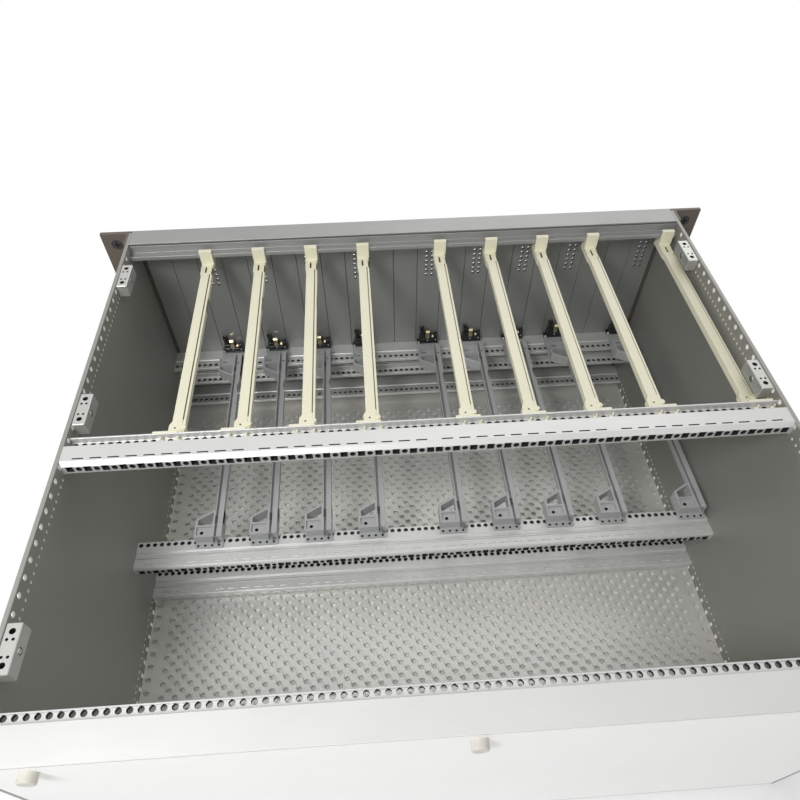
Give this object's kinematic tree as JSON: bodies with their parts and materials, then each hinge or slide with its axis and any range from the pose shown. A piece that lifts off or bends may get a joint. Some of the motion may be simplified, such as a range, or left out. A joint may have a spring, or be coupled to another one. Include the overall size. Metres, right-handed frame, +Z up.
{
  "type": "card cage subrack chassis",
  "caption": "Open rack-mounted card cage: perforated bottom, rails, card guides and front panels between two side panels.",
  "frame": {"origin": "centre of the bounding box on the surface that the chassis stands on", "axes": "+X to the right as seen from the front panels, +Y from the front panels to the rear, +Z up"},
  "size_m": [0.4826, 0.407, 0.177],
  "materials": {
    "rail_extrusion": "satin anodised extrusion",
    "side_sheet": "matt passivated sheet",
    "ear_metal": "satin anodised, warm grey",
    "front_sheet": "satin sheet",
    "cream_plastic": "moulded, fine satin",
    "grey_plastic": "moulded, fine satin",
    "perforated_sheet": "bright passivated sheet",
    "rear_paint": "pale powder coat",
    "bumper_plastic": "moulded, ivory grey",
    "block_metal": "bright cast and milled",
    "screw_steel": "zinc plated",
    "dark_screw": "blackened"
  },
  "bodies": {
    "root": {"base_panel": "front_sheet", "bottom_plate": "perforated_sheet", "cover_blocks": "block_metal", "ear_screws": "dark_screw", "front_rail_base": "rail_extrusion", "front_rail_cage": "rail_extrusion", "front_rail_divider": "rail_extrusion", "front_rail_top": "rail_extrusion", "lower_guide_1": "grey_plastic", "lower_guide_2": "grey_plastic", "lower_guide_3": "grey_plastic", "lower_guide_4": "grey_plastic", "lower_guide_5": "grey_plastic", "lower_guide_6": "grey_plastic", "lower_guide_7": "grey_plastic", "lower_guide_8": "grey_plastic", "lower_guide_9": "grey_plastic", "mid_rail_base": "rail_extrusion", "mid_rail_cage": "rail_extrusion", "mid_rail_top": "rail_extrusion", "panel_screws": "screw_steel", "plain_panel_02": "front_sheet", "plain_panel_03": "front_sheet", "plain_panel_05": "front_sheet", "plain_panel_07": "front_sheet", "plain_panel_09": "front_sheet", "plain_panel_11": "front_sheet", "plain_panel_12": "front_sheet", "plain_panel_14": "front_sheet", "plain_panel_16": "front_sheet", "plain_panel_18": "front_sheet", "plain_panel_20": "front_sheet", "plain_panel_21": "front_sheet", "rack_ear_left": "ear_metal", "rack_ear_right": "ear_metal", "rail_screws": "screw_steel", "rear_bumpers": "bumper_plastic", "rear_panel": "rear_paint", "rear_rail_base": "rail_extrusion", "rear_rail_top": "rail_extrusion", "side_panel_left": "side_sheet", "side_panel_right": "side_sheet", "upper_guide_1": "cream_plastic", "upper_guide_2": "cream_plastic", "upper_guide_3": "cream_plastic", "upper_guide_4": "cream_plastic", "upper_guide_5": "cream_plastic", "upper_guide_6": "cream_plastic", "upper_guide_7": "cream_plastic", "upper_guide_8": "cream_plastic", "upper_guide_9": "cream_plastic", "vented_panel_01": "front_sheet", "vented_panel_04": "front_sheet", "vented_panel_06": "front_sheet", "vented_panel_08": "front_sheet", "vented_panel_10": "front_sheet", "vented_panel_13": "front_sheet", "vented_panel_15": "front_sheet", "vented_panel_17": "front_sheet", "vented_panel_19": "front_sheet"}
  },
  "joints": []
}
